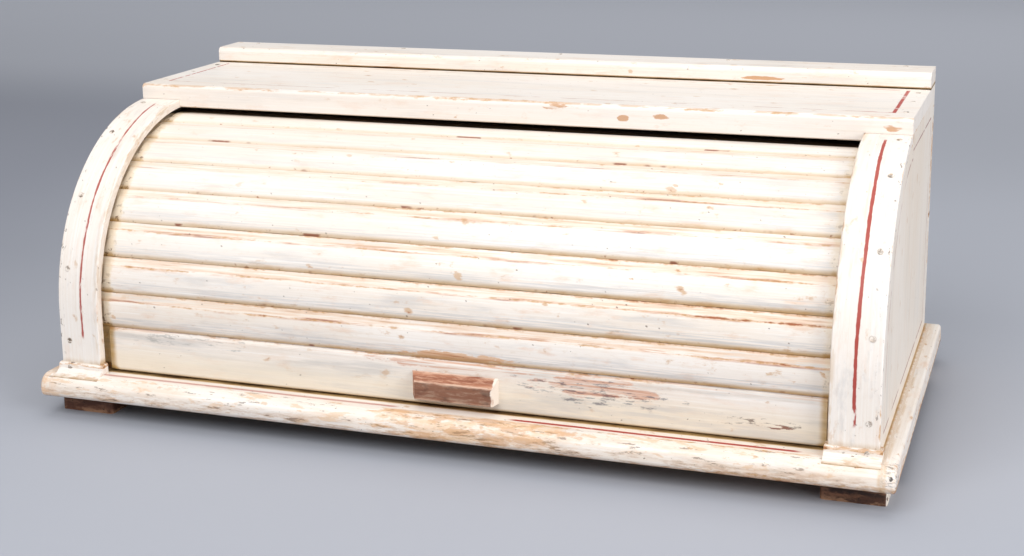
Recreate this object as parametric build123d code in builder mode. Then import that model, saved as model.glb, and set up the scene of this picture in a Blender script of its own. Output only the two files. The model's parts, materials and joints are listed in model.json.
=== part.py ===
from build123d import *

import os
from math import cos, radians, sin, sqrt, tan

# Bread box with a roll top: a painted wooden case whose curved front is a curtain of slats.
# Millimetres, +Z up, -Y is the front. The origin is under the middle of the base, on the table.

# Base and feet
BASE_WIDTH = 624.0
BASE_DEPTH = 325.0
BASE_THICKNESS = 17.0
BASE_TOP_ROUND = 10.0  # nose along the front and back
BASE_UNDER_ROUND = 5.0
BASE_END_ROUND = 2.5
FOOT_HEIGHT = 15.0
FOOT_LENGTH = 43.0
FOOT_DEPTH = 40.0
FOOT_INSET_X = 6.5
FOOT_INSET_Y = 18.0
FOOT_CORNER = 2.5

# Case boards
BODY_WIDTH = 600.0
BODY_BACK_Y = 145.5
SIDE_THICKNESS = 15.0
BACK_THICKNESS = 12.0
BACK_TONGUE = 4.0
INNER_BACK_THICKNESS = 7.0
INNER_BACK_Y = 84.0
INNER_BACK_TOP = 138.0

# Roll top: every slat keeps to one circle, so the whole curtain turns about this centre line
ARC_Y = -8.5
ARC_Z = 76.5
EDGE_RADIUS = 134.0  # curved front edge of the side panels
BAND_THICKNESS = 6.0
BAND_WIDTH = 33.0
BAND_EASE = 1.0  # rounding of its outer edges
BAND_END_Y = -13.0  # where the bands stop, just behind the top's front edge
CHEEK_RADIUS = 122.1  # edge that the slats' tongues ride round
SLAT_BACK = 122.5  # from the centre line to the flat back of a slat
SLAT_PITCH = 11.75  # degrees
SLAT_COUNT = 9
FIRST_JOINT = -4.6  # degrees above the centre line, where the rail meets the first slat
SLAT_GAP = 0.6
SLAT_THICKNESS = 8.0
SLAT_BEVEL_RUN = 6.0  # bevel along a slat's upper edge
SLAT_BEVEL_FOOT = 3.6
SLAT_BEVEL_HEAD = 7.3
SLAT_NOSE_RUN = 4.6  # rounded nose along its lower edge
SLAT_NOSE_FOOT = 2.6
SLAT_END_BEVEL = 2.2
TONGUE_THICKNESS = 4.5
TONGUE_CLEARANCE = 1.5  # to the side panel
FACE_CLEARANCE = 2.0  # from a slat's face to the inner edge of a band
CANVAS_THICKNESS = 0.8
CANVAS_LAP = 9.0  # how far the canvas laps the rail

# Bottom rail and its pull
RAIL_GAP = 0.8  # above the base when shut
RAIL_DROP = 1.5  # the rail's face lies behind the crowns of the slats
RAIL_TONGUE_LIFT = 5.0  # its tongues stop short of its lower edge, to clear the bands
RAIL_TOP_ROUND = 4.5
RAIL_BOTTOM_ROUND = 1.5
PULL_LEFT_X = -22.0
PULL_RIGHT_X = 41.5
PULL_HEIGHT = 17.8
PULL_DEPTH = 9.5
PULL_BOTTOM = 38.7
PULL_SLOPE = 5.5  # fall of its top from the rail to its face
PULL_LEFT_DRAFT = 5.0  # how far each end slants in from the rail to its face
PULL_RIGHT_DRAFT = 2.0
PULL_ROUND = 1.2

# Top board and the rail along its back
TOP_FRONT_Y = -15.5
TOP_SURFACE = 228.0
TOP_FRONT_ROUND = 3.5
LIP_ROUND = 1.2
BACK_RAIL_DEPTH = 36.5
BACK_RAIL_THICKNESS = 12.5
BACK_RAIL_ROUND = 4.0
BACK_RAIL_UNDERCUT = 2.0

# Plinth blocks under the bands
PLINTH_HEIGHT = 7.5
PLINTH_NOSE = 1.8
PLINTH_FACE = 2.6
PLINTH_FLARE = 8.2  # its hollow foot runs out over the nose of the base
PLINTH_TOE_DROP = 1.2
PLINTH_HOLLOW = 0.35
PLINTH_SCRIBE = 5.0  # how far it reaches down before it is cut to the base
PLINTH_SIDE = 2.0  # how far a block stands out past its band on each side
PLINTH_EASE = 0.8

# Nails and screws
NAIL_RADIUS = 0.9
NAIL_HEAD_RADIUS = 1.9
NAIL_HEAD = 1.0
NAIL_STAND = 0.25  # how far a nail head stands out
NAIL_LENGTH = 22.0
BAND_NAIL_ANGLES = (14.0, 37.0, 62.0, 82.0)
BAND_NAIL_LOW_Z = 56.0
PLINTH_NAIL_DROP = 3.1
TOP_NAIL_Y = (8.0, 52.0, 92.0)
BACK_NAIL_HEIGHTS = (52.0, 104.0, 140.0, 192.0)
BACK_RAIL_NAIL_X = (-278.0, -140.0, 0.0, 140.0, 278.0)
SCREW_RADIUS = 1.7
SCREW_HEAD_RADIUS = 3.4
SCREW_HEAD = 2.0
CHEEK_SCREW_PLACES = ((-90.0, 60.0), (70.0, 60.0), (-10.0, 165.0))
CHEEK_SCREW_LENGTH = 26.0
BASE_SCREW_Y = (-95.0, 0.0, 95.0)
BASE_SCREW_LENGTH = 42.0
FOOT_SCREW_REACH = 11.0  # each side of a foot's middle
FOOT_SCREW_LENGTH = 26.0
PULL_SCREW_REACH = 17.0  # each side of the pull's middle
PULL_SCREW_LENGTH = 15.0

# Worked out from the sizes above
BASE_TOP = FOOT_HEIGHT + BASE_THICKNESS
HALF_BODY = BODY_WIDTH / 2
SIDE_INNER_X = HALF_BODY - SIDE_THICKNESS
SIDE_MIDDLE_X = HALF_BODY - SIDE_THICKNESS / 2
SIDE_BACK_Y = BODY_BACK_Y - BACK_THICKNESS
BAND_INNER_X = HALF_BODY - BAND_WIDTH
BAND_RADIUS = EDGE_RADIUS + BAND_THICKNESS
BAND_FRONT_Y = ARC_Y - BAND_RADIUS
EDGE_FRONT_Y = ARC_Y - EDGE_RADIUS
FACE_END_X = BAND_INNER_X - FACE_CLEARANCE
TONGUE_END_X = SIDE_INNER_X - TONGUE_CLEARANCE
LIP_Z = ARC_Z + EDGE_RADIUS
SIDE_TOP = ARC_Z + BAND_RADIUS
PLINTH_TOP = BASE_TOP + PLINTH_HEIGHT
FOLD_REACH = 1 / cos(radians(SLAT_PITCH / 2))
SLAT_WIDTH = 2 * SLAT_BACK * tan(radians(SLAT_PITCH / 2)) - SLAT_GAP
RAIL_BOTTOM = BASE_TOP + RAIL_GAP
RAIL_TOP = ARC_Z + SLAT_BACK * FOLD_REACH * sin(radians(FIRST_JOINT)) - SLAT_GAP / 2
RAIL_BACK_Y = ARC_Y - SLAT_BACK
RAIL_THICKNESS = SLAT_THICKNESS - RAIL_DROP
RAIL_FACE_Y = RAIL_BACK_Y - RAIL_THICKNESS
PULL_MIDDLE_X = (PULL_LEFT_X + PULL_RIGHT_X) / 2
BACK_MIDDLE = (BASE_TOP + LIP_Z) / 2
BACK_CENTRE_Y = BODY_BACK_Y - BACK_THICKNESS / 2
FOOT_X = BASE_WIDTH / 2 - FOOT_INSET_X - FOOT_LENGTH / 2
FOOT_Y = BASE_DEPTH / 2 - FOOT_INSET_Y - FOOT_DEPTH / 2
HANDS = {"left": -1, "right": 1}

os.makedirs("parts", exist_ok=True)
volumes = {}


def save(piece, name):
    """Label a finished piece and write it to its own file."""
    piece.label = name
    export_step(piece, f"parts/{name}.step")
    volumes[name] = piece.volume


def across(side, near_x, far_x):
    """YZ plane at the low-X face of a piece that lies from near_x to far_x on one side."""
    return Plane.YZ.offset(near_x if side > 0 else -far_x)


def arch_point(radius, degrees_up):
    """Point on a circle about the roll top's centre line, counted from the front upwards."""
    angle = radians(degrees_up)
    return ARC_Y - radius * cos(angle), ARC_Z + radius * sin(angle)


def arch_height(radius, y):
    """Height of such a circle at a place along Y."""
    return ARC_Z + sqrt(radius**2 - (y - ARC_Y) ** 2)


def on_band_side(edge):
    """Whether an edge lies in one of a band's two flat side faces."""
    x = abs(edge.center().X)
    return min(abs(x - BAND_INNER_X), abs(x - HALF_BODY)) < BAND_EASE / 2


def slat_plane(x, degrees_up):
    """Plane across the box on a slat's back: local x runs up the curtain, local y outwards."""
    y, z = arch_point(SLAT_BACK, degrees_up)
    angle = radians(degrees_up)
    return Plane(origin=(x, y, z), x_dir=(0, sin(angle), cos(angle)), z_dir=(1, 0, 0))


def fasteners(name, planes, shank, head, head_depth, length):
    """A group of nails or screws: each head lies on its plane, each shank runs behind it."""
    with BuildPart() as group:
        with BuildSketch(*planes):
            Circle(head)
        extrude(amount=-head_depth)
        with BuildSketch(*planes):
            Circle(shank)
        extrude(amount=-length)
    save(group.part, name)
    return group.part


def nails(name, planes):
    """Nails whose heads stand a little proud of the planes."""
    proud = [plane.offset(NAIL_STAND) for plane in planes]
    return fasteners(name, proud, NAIL_RADIUS, NAIL_HEAD_RADIUS, NAIL_HEAD, NAIL_LENGTH)


def screws(name, planes, length):
    """Screws whose heads lie flush in the planes."""
    return fasteners(name, planes, SCREW_RADIUS, SCREW_HEAD_RADIUS, SCREW_HEAD, length)


# Where the nails and screws go, with each plane facing the way that its heads do
band_nail_planes = []
plinth_nail_planes = []
top_nail_planes = []
back_nail_planes = []
cheek_screw_planes = []
base_screw_planes = []
for side in HANDS.values():
    nail_x = side * SIDE_MIDDLE_X
    for angle in BAND_NAIL_ANGLES:
        outward = (0, -cos(radians(angle)), sin(radians(angle)))
        place = (nail_x, *arch_point(BAND_RADIUS, angle))
        band_nail_planes.append(Plane(place, (1, 0, 0), outward))
    band_nail_planes.append(Plane((nail_x, BAND_FRONT_Y, BAND_NAIL_LOW_Z), (1, 0, 0), (0, -1, 0)))
    plinth_nail_z = PLINTH_TOP - PLINTH_NAIL_DROP
    plinth_nail_place = (nail_x, BAND_FRONT_Y - PLINTH_NOSE, plinth_nail_z)
    plinth_nail_planes.append(Plane(plinth_nail_place, (1, 0, 0), (0, -1, 0)))
    for y in TOP_NAIL_Y:
        top_nail_planes.append(Plane((nail_x, y, TOP_SURFACE)))
    for z in BACK_NAIL_HEIGHTS:
        back_nail_planes.append(Plane((nail_x, BODY_BACK_Y, z), (1, 0, 0), (0, 1, 0)))
    for y, z in CHEEK_SCREW_PLACES:
        cheek_screw_planes.append(Plane((side * BAND_INNER_X, y, z), (0, 1, 0), (-side, 0, 0)))
    for y in BASE_SCREW_Y:
        base_screw_planes.append(Plane((nail_x, y, FOOT_HEIGHT), (1, 0, 0), (0, 0, -1)))
band_nails = nails("band_nails", band_nail_planes)
plinth_nails = nails("plinth_nails", plinth_nail_planes)
top_nails = nails("top_nails", top_nail_planes)
back_nails = nails("back_nails", back_nail_planes)
back_rail_top = TOP_SURFACE + BACK_RAIL_THICKNESS
back_rail_nail_planes = [Plane((x, BACK_CENTRE_Y, back_rail_top)) for x in BACK_RAIL_NAIL_X]
back_rail_nails = nails("back_rail_nails", back_rail_nail_planes)

# Screws: cheeks to side panels, base to side panels, feet to base, rail to pull
cheek_screws = screws("cheek_screws", cheek_screw_planes, CHEEK_SCREW_LENGTH)
base_screws = screws("base_screws", base_screw_planes, BASE_SCREW_LENGTH)
foot_screw_planes = [
    Plane((side * FOOT_X + reach, end * FOOT_Y, 0), (1, 0, 0), (0, 0, -1))
    for side in HANDS.values()
    for end in (-1, 1)
    for reach in (-FOOT_SCREW_REACH, FOOT_SCREW_REACH)
]
foot_screws = screws("foot_screws", foot_screw_planes, FOOT_SCREW_LENGTH)
pull_screw_z = PULL_BOTTOM + PULL_HEIGHT / 3
pull_screw_planes = [
    Plane((PULL_MIDDLE_X + reach, RAIL_BACK_Y, pull_screw_z), (1, 0, 0), (0, 1, 0))
    for reach in (-PULL_SCREW_REACH, PULL_SCREW_REACH)
]
pull_screws = screws("pull_screws", pull_screw_planes, PULL_SCREW_LENGTH)

# Base board, with a rounded nose along its front and back and eased ends
with BuildPart() as base_board:
    with BuildSketch(Plane.XY.offset(FOOT_HEIGHT)):
        Rectangle(BASE_WIDTH, BASE_DEPTH)
    extrude(amount=BASE_THICKNESS)
    fillet(base_board.faces().sort_by(Axis.Z)[-1].edges().filter_by(Axis.X), BASE_TOP_ROUND)
    fillet(base_board.faces().sort_by(Axis.Z)[0].edges().filter_by(Axis.X), BASE_UNDER_ROUND)
    fillet(base_board.faces().filter_by(Axis.X).edges(), BASE_END_ROUND)
    add(base_screws, mode=Mode.SUBTRACT)
    add(foot_screws, mode=Mode.SUBTRACT)
save(base_board.part, "base_board")

# Feet: plain blocks set in from the edge of the base
for row, end in (("front", -1), ("rear", 1)):
    for hand, side in HANDS.items():
        with BuildPart() as foot:
            with BuildSketch(Plane((side * FOOT_X, end * FOOT_Y, 0))):
                RectangleRounded(FOOT_LENGTH, FOOT_DEPTH, FOOT_CORNER)
            extrude(amount=FOOT_HEIGHT)
            add(foot_screws, mode=Mode.SUBTRACT)
        save(foot.part, f"foot_{row}_{hand}")

# Side panels: a quarter circle in front, with a step up to the top where the band ends
side_panel_fasteners = [
    band_nails,
    plinth_nails,
    top_nails,
    back_nails,
    cheek_screws,
    base_screws,
]
for hand, side in HANDS.items():
    with BuildPart() as side_panel:
        with BuildSketch(across(side, SIDE_INNER_X, HALF_BODY)):
            with BuildLine():
                rise = Line((EDGE_FRONT_Y, BASE_TOP), (EDGE_FRONT_Y, ARC_Z))
                step = (BAND_END_Y, arch_height(EDGE_RADIUS, BAND_END_Y))
                RadiusArc(rise @ 1, step, EDGE_RADIUS)
                Polyline(
                    step,
                    (BAND_END_Y, SIDE_TOP),
                    (SIDE_BACK_Y, SIDE_TOP),
                    (SIDE_BACK_Y, BASE_TOP),
                    rise @ 0,
                )
            make_face()
        extrude(amount=SIDE_THICKNESS)
        for group in side_panel_fasteners:
            add(group, mode=Mode.SUBTRACT)
    save(side_panel.part, f"side_panel_{hand}")

# Guide cheeks: arched boards inside the side panels, under the slats' tongues
for hand, side in HANDS.items():
    with BuildPart() as guide_cheek:
        with BuildSketch(across(side, BAND_INNER_X, SIDE_INNER_X)):
            with BuildLine():
                front_y = ARC_Y - CHEEK_RADIUS
                heel_y = ARC_Y + sqrt(CHEEK_RADIUS**2 - (ARC_Z - BASE_TOP) ** 2)
                crest = (ARC_Y, ARC_Z + CHEEK_RADIUS)
                ThreePointArc((front_y, ARC_Z), crest, (heel_y, BASE_TOP))
                Polyline((heel_y, BASE_TOP), (front_y, BASE_TOP), (front_y, ARC_Z))
            make_face()
        extrude(amount=SIDE_INNER_X - BAND_INNER_X)
        add(cheek_screws, mode=Mode.SUBTRACT)
    save(guide_cheek.part, f"guide_cheek_{hand}")

# Plinth blocks: a small moulding on the base that each band stands on
for hand, side in HANDS.items():
    with BuildPart() as plinth_block:
        with BuildSketch(across(side, BAND_INNER_X - PLINTH_SIDE, HALF_BODY + PLINTH_SIDE)):
            with BuildLine():
                lip_y = BAND_FRONT_Y - PLINTH_NOSE
                toe = (lip_y - PLINTH_FLARE, BASE_TOP - PLINTH_TOE_DROP)
                cove_top = (lip_y, PLINTH_TOP - PLINTH_NOSE - PLINTH_FACE)
                cove_y = (toe[0] + lip_y) / 2 + PLINTH_HOLLOW
                cove_z = (toe[1] + cove_top[1]) / 2 - PLINTH_HOLLOW
                Polyline(
                    toe,
                    (toe[0], BASE_TOP - PLINTH_SCRIBE),
                    (EDGE_FRONT_Y, BASE_TOP - PLINTH_SCRIBE),
                    (EDGE_FRONT_Y, PLINTH_TOP),
                    (BAND_FRONT_Y, PLINTH_TOP),
                    (lip_y, PLINTH_TOP - PLINTH_NOSE),
                    cove_top,
                )
                ThreePointArc(cove_top, (cove_y, cove_z), toe)
            make_face()
        extrude(amount=BAND_WIDTH + 2 * PLINTH_SIDE)
        add(base_board, mode=Mode.SUBTRACT)
        chamfer(plinth_block.faces().sort_by(Axis.Z)[-1].edges().filter_by(Axis.Y), PLINTH_EASE)
        add(plinth_nails, mode=Mode.SUBTRACT)
    save(plinth_block.part, f"plinth_block_{hand}")

# Front bands: strips bent over the side panels' edges, which also hide the slats' tongues
for hand, side in HANDS.items():
    with BuildPart() as front_band:
        with BuildSketch(across(side, BAND_INNER_X, HALF_BODY)):
            with BuildLine():
                inner_end = (BAND_END_Y, arch_height(EDGE_RADIUS, BAND_END_Y))
                outer_end = (BAND_END_Y, arch_height(BAND_RADIUS, BAND_END_Y))
                foot_line = Polyline(
                    (EDGE_FRONT_Y, ARC_Z),
                    (EDGE_FRONT_Y, PLINTH_TOP),
                    (BAND_FRONT_Y, PLINTH_TOP),
                    (BAND_FRONT_Y, ARC_Z),
                )
                RadiusArc(foot_line @ 1, outer_end, BAND_RADIUS)
                Line(outer_end, inner_end)
                RadiusArc(foot_line @ 0, inner_end, EDGE_RADIUS)
            make_face()
        extrude(amount=BAND_WIDTH)
        outer_faces = front_band.faces().filter_by(GeomType.CYLINDER).sort_by(SortBy.AREA)[-1:]
        outer_faces += front_band.faces().filter_by(Axis.Y).sort_by(Axis.Y)[:1]
        fillet([e for f in outer_faces for e in f.edges() if on_band_side(e)], BAND_EASE)
        add(band_nails, mode=Mode.SUBTRACT)
    save(front_band.part, f"front_band_{hand}")

# Top board: stepped underneath at its ends, to sit on the side panels and over the bands
with BuildPart() as top_board:
    with BuildSketch(Plane.XY.offset(LIP_Z)):
        with Locations((0, TOP_FRONT_Y)):
            Rectangle(BODY_WIDTH, BODY_BACK_Y - TOP_FRONT_Y, align=(Align.CENTER, Align.MIN))
    extrude(amount=TOP_SURFACE - LIP_Z)
    front_edges = top_board.edges().filter_by(Axis.X).group_by(Axis.Y)[0].sort_by(Axis.Z)
    fillet(front_edges[-1], TOP_FRONT_ROUND)
    fillet(front_edges[0], LIP_ROUND)
    with BuildSketch(Plane.XY.offset(LIP_Z)):
        for side in HANDS.values():
            with Locations((side * (HALF_BODY - BAND_WIDTH / 2), TOP_FRONT_Y)):
                Rectangle(BAND_WIDTH, SIDE_BACK_Y - TOP_FRONT_Y, align=(Align.CENTER, Align.MIN))
    extrude(amount=BAND_THICKNESS, mode=Mode.SUBTRACT)
    add(top_nails, mode=Mode.SUBTRACT)
    add(back_rail_nails, mode=Mode.SUBTRACT)
save(top_board.part, "top_board")

# Back rail: a strip along the rear of the top, rounded in front
with BuildPart() as back_rail:
    with BuildSketch(Plane.XY.offset(TOP_SURFACE)):
        with Locations((0, BODY_BACK_Y)):
            Rectangle(BODY_WIDTH, BACK_RAIL_DEPTH, align=(Align.CENTER, Align.MAX))
    extrude(amount=BACK_RAIL_THICKNESS)
    front_edges = back_rail.edges().filter_by(Axis.X).group_by(Axis.Y)[0].sort_by(Axis.Z)
    fillet(front_edges[-1], BACK_RAIL_ROUND)
    fillet(front_edges[0], BACK_RAIL_UNDERCUT)
    add(back_rail_nails, mode=Mode.SUBTRACT)
save(back_rail.part, "back_rail")

# Back: two boards over the side panels' rear edges, joined by a tongue and groove
with BuildPart() as back_board_lower:
    with BuildSketch(Plane.YZ.offset(-HALF_BODY)):
        with Locations((BACK_CENTRE_Y, BASE_TOP)):
            Rectangle(BACK_THICKNESS, BACK_MIDDLE - BASE_TOP, align=(Align.CENTER, Align.MIN))
        with Locations((BACK_CENTRE_Y, BACK_MIDDLE)):
            Rectangle(BACK_TONGUE, BACK_TONGUE, align=(Align.CENTER, Align.MIN))
    extrude(amount=BODY_WIDTH)
    add(back_nails, mode=Mode.SUBTRACT)
save(back_board_lower.part, "back_board_lower")

with BuildPart() as back_board_upper:
    with BuildSketch(Plane.YZ.offset(-HALF_BODY)):
        with Locations((BACK_CENTRE_Y, BACK_MIDDLE)):
            Rectangle(BACK_THICKNESS, LIP_Z - BACK_MIDDLE, align=(Align.CENTER, Align.MIN))
            Rectangle(
                BACK_TONGUE, BACK_TONGUE, align=(Align.CENTER, Align.MIN), mode=Mode.SUBTRACT
            )
    extrude(amount=BODY_WIDTH)
    add(back_nails, mode=Mode.SUBTRACT)
save(back_board_upper.part, "back_board_upper")

# Inner back: keeps the bread clear of the curtain as it rolls down behind
with BuildPart() as inner_back:
    with BuildSketch(Plane.YZ.offset(-BAND_INNER_X)):
        with Locations((INNER_BACK_Y, BASE_TOP)):
            Rectangle(INNER_BACK_THICKNESS, INNER_BACK_TOP - BASE_TOP, align=Align.MIN)
    extrude(amount=2 * BAND_INNER_X)
save(inner_back.part, "inner_back")

# Slats: flat backs, a bevel above, a rounded nose below and a thin tongue at each end
half = SLAT_WIDTH / 2
for number in range(SLAT_COUNT):
    angle = FIRST_JOINT + (number + 0.5) * SLAT_PITCH
    with BuildPart() as slat:
        with BuildSketch(slat_plane(-FACE_END_X, angle)):
            with BuildLine():
                bevel_head = (half - SLAT_BEVEL_RUN, SLAT_BEVEL_HEAD)
                nose_head = (SLAT_NOSE_RUN - half, SLAT_BEVEL_HEAD)
                nose_foot = (-half, SLAT_NOSE_FOOT)
                Polyline(nose_foot, (-half, 0), (half, 0), (half, SLAT_BEVEL_FOOT), bevel_head)
                ThreePointArc(bevel_head, (0, SLAT_THICKNESS), nose_head)
                TangentArc(nose_foot, nose_head, tangent=(0, 1))
            make_face()
        extrude(amount=2 * FACE_END_X)
        with BuildSketch(Plane(slat_plane(0, angle).origin, (1, 0, 0), slat_plane(0, angle).x_dir)):
            with BuildLine():
                Polyline(
                    (FACE_END_X - SLAT_END_BEVEL, -SLAT_THICKNESS),
                    (FACE_END_X, -SLAT_THICKNESS),
                    (FACE_END_X, SLAT_END_BEVEL - SLAT_THICKNESS),
                    close=True,
                )
            make_face()
            mirror(about=Plane.YZ)
        extrude(amount=half, both=True, mode=Mode.SUBTRACT)
        with BuildSketch(slat_plane(-TONGUE_END_X, angle)):
            Rectangle(SLAT_WIDTH, TONGUE_THICKNESS, align=(Align.CENTER, Align.MIN))
        extrude(amount=2 * TONGUE_END_X)
    save(slat.part, f"slat_{number + 1}")

# Bottom rail: the taller last slat, which carries the pull and shuts down on the base
with BuildPart() as bottom_rail:
    with BuildSketch(Plane.YZ.offset(-FACE_END_X)):
        with Locations((RAIL_FACE_Y, RAIL_BOTTOM)):
            Rectangle(RAIL_THICKNESS, RAIL_TOP - RAIL_BOTTOM, align=Align.MIN)
    extrude(amount=2 * FACE_END_X)
    face_edges = bottom_rail.edges().filter_by(Axis.X).group_by(Axis.Y)[0].sort_by(Axis.Z)
    fillet(face_edges[-1], RAIL_TOP_ROUND)
    fillet(face_edges[0], RAIL_BOTTOM_ROUND)
    with BuildSketch(Plane.YZ.offset(-TONGUE_END_X)):
        with Locations((RAIL_BACK_Y, RAIL_TOP)):
            Rectangle(TONGUE_THICKNESS, RAIL_TOP - RAIL_BOTTOM - RAIL_TONGUE_LIFT, align=Align.MAX)
    extrude(amount=2 * TONGUE_END_X)
    add(pull_screws, mode=Mode.SUBTRACT)
save(bottom_rail.part, "bottom_rail")

# Canvas glued to the backs of the slats and the head of the rail, folding at each joint
with BuildPart() as canvas_backing:
    with BuildSketch(Plane.YZ.offset(-FACE_END_X)):
        joints = [FIRST_JOINT + (n + 1) * SLAT_PITCH for n in range(SLAT_COUNT)]
        outer = [arch_point(SLAT_BACK * FOLD_REACH, a) for a in joints]
        inner = [arch_point((SLAT_BACK - CANVAS_THICKNESS) * FOLD_REACH, a) for a in joints]
        canvas_back_y = RAIL_BACK_Y + CANVAS_THICKNESS
        with BuildLine():
            Polyline(
                (RAIL_BACK_Y, RAIL_TOP - CANVAS_LAP),
                (RAIL_BACK_Y, RAIL_TOP),
                *outer,
                *reversed(inner),
                (canvas_back_y, RAIL_TOP),
                (canvas_back_y, RAIL_TOP - CANVAS_LAP),
                close=True,
            )
        make_face()
    extrude(amount=2 * FACE_END_X)
save(canvas_backing.part, "canvas_backing")

# Pull block: a hand-cut grip with a sloping top and slanting ends
with BuildPart() as pull_block:
    pull_face_y = RAIL_FACE_Y - PULL_DEPTH
    pull_top = PULL_BOTTOM + PULL_HEIGHT
    with BuildSketch(Plane.XY.offset(PULL_BOTTOM)):
        with BuildLine():
            Polyline(
                (PULL_LEFT_X, RAIL_FACE_Y),
                (PULL_RIGHT_X, RAIL_FACE_Y),
                (PULL_RIGHT_X - PULL_RIGHT_DRAFT, pull_face_y),
                (PULL_LEFT_X + PULL_LEFT_DRAFT, pull_face_y),
                close=True,
            )
        make_face()
    extrude(amount=PULL_HEIGHT)
    with BuildSketch(Plane.YZ.offset(PULL_LEFT_X)):
        with BuildLine():
            Polyline(
                (RAIL_FACE_Y, pull_top),
                (pull_face_y, pull_top),
                (pull_face_y, pull_top - PULL_SLOPE),
                close=True,
            )
        make_face()
    extrude(amount=PULL_RIGHT_X - PULL_LEFT_X, mode=Mode.SUBTRACT)
    fillet(pull_block.faces().sort_by(Axis.Y)[0].edges(), PULL_ROUND)
    add(pull_screws, mode=Mode.SUBTRACT)
save(pull_block.part, "pull_block")

print("Volumes in cubic centimetres:")
for name, volume in volumes.items():
    print(f"  {name}: {volume / 1000:.1f}")
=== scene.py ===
# %% [markdown]
# # An old painted bread box with a roll top
# The box is a wooden case on four low feet. Its curved front is a curtain of slats that rolls up
# and back. The solids come from the part's own model, so every piece is already in its place,
# in metres. This lesson gives them paint, wood, steel and cloth.

# %% Load the frame
import functools
import json
import math

import bmesh
import bpy
from mathutils import Matrix, Vector


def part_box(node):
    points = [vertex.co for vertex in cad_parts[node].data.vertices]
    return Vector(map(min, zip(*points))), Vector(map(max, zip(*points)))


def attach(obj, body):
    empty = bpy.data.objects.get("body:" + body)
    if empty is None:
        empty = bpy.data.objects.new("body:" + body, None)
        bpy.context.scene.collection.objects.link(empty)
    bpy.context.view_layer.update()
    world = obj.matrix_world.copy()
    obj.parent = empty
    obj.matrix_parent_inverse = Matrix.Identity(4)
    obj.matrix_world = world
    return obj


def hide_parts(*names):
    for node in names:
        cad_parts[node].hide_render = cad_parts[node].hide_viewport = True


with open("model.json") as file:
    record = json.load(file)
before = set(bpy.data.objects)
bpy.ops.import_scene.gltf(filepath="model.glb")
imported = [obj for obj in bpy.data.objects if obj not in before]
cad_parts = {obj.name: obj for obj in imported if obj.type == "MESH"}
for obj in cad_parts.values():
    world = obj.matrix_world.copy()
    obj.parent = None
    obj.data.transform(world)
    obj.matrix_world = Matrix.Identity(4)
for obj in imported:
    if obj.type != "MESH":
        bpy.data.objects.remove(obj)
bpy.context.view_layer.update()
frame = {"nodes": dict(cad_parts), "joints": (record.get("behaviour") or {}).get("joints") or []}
nodes = frame["nodes"]


# %% Putting things in the scene
def placed(name, data):
    """A new object in the scene."""
    made = bpy.data.objects.new(name, data)
    bpy.context.scene.collection.objects.link(made)
    return made


# %% [markdown]
# ## Camera
# A photograph's camera can be guessed by eye, or worked out from edges that are known to be
# square. Here it was worked out, so its angles and focal length are plain numbers. The lens
# shift says that the photograph was cropped: its middle isn't where the lens pointed.

# %% Camera
IMAGE_WIDTH, IMAGE_HEIGHT = 1024, 556
FOCAL_PIXELS = 1636.37
LENS_CENTRE = (518.85, 194.53)
TURN, TILT, ROLL = 0.3334, 0.2252, -0.0127  # radians
CAMERA_PLACE = (0.4038, -1.1360, 0.4289)

camera_data = bpy.data.cameras.new("Camera")
camera_data.sensor_width = 36.0
camera_data.lens = FOCAL_PIXELS / IMAGE_WIDTH * camera_data.sensor_width
camera_data.shift_x = (IMAGE_WIDTH / 2 - LENS_CENTRE[0]) / IMAGE_WIDTH
camera_data.shift_y = (LENS_CENTRE[1] - IMAGE_HEIGHT / 2) / IMAGE_WIDTH
backwards = Vector(
    (math.sin(TURN) * math.cos(TILT), -math.cos(TURN) * math.cos(TILT), math.sin(TILT))
)
level = Vector((math.cos(TURN), math.sin(TURN), 0.0))
upright = backwards.cross(level)
right = math.cos(ROLL) * level + math.sin(ROLL) * upright
upwards = math.cos(ROLL) * upright - math.sin(ROLL) * level
camera = placed("Camera", camera_data)
camera.matrix_world = Matrix((right, upwards, backwards)).transposed().to_4x4()
camera.location = CAMERA_PLACE
bpy.context.scene.camera = camera
print("lens", round(camera_data.lens, 2), "mm")

# %% [markdown]
# ## Floor and light
# Pale paint needs quiet light. A broad lamp high in front and to the left gives the slats their
# shading, a weaker one on the right opens the shadows, and a wide one overhead lights the top.
# The world adds an even glow. The floor is pale and a little cool, so that the cream looks
# warm; painted shade lies on it behind the box on the left, and painted light far off.

# %% Floor
FLOOR = 6.0  # half its width

floor_mesh = bpy.data.meshes.new("Floor")
floor_corners = [(-FLOOR, -FLOOR, 0), (FLOOR, -FLOOR, 0), (FLOOR, FLOOR, 0), (-FLOOR, FLOOR, 0)]
floor_mesh.from_pydata(floor_corners, [], [(0, 1, 2, 3)])
floor = placed("Floor", floor_mesh)
print("floor", 2 * FLOOR, "m across")

# %% Lamps and world
LAMPS = {  # place, width in metres, watts
    "Lamp_left": ((-0.5, -2.05, 2.15), 1.9, 50.0),
    "Lamp_right": ((2.2, -1.0, 1.1), 1.4, 38.0),
    "Lamp_above": ((0.1, 0.3, 2.3), 1.8, 15.5),
}
AIM = Vector((0.0, 0.0, 0.1))
GLOW, GLOW_STRENGTH = (0.95, 0.97, 1.0, 1.0), 0.4

for lamp_name, (lamp_place, lamp_size, lamp_power) in LAMPS.items():
    lamp_data = bpy.data.lights.new(lamp_name, "AREA")
    lamp_data.size = lamp_size
    lamp_data.energy = lamp_power
    lamp = placed(lamp_name, lamp_data)
    lamp.location = lamp_place
    lamp.rotation_mode = "QUATERNION"
    lamp.rotation_quaternion = (AIM - lamp.location).to_track_quat("-Z", "Y")

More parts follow.
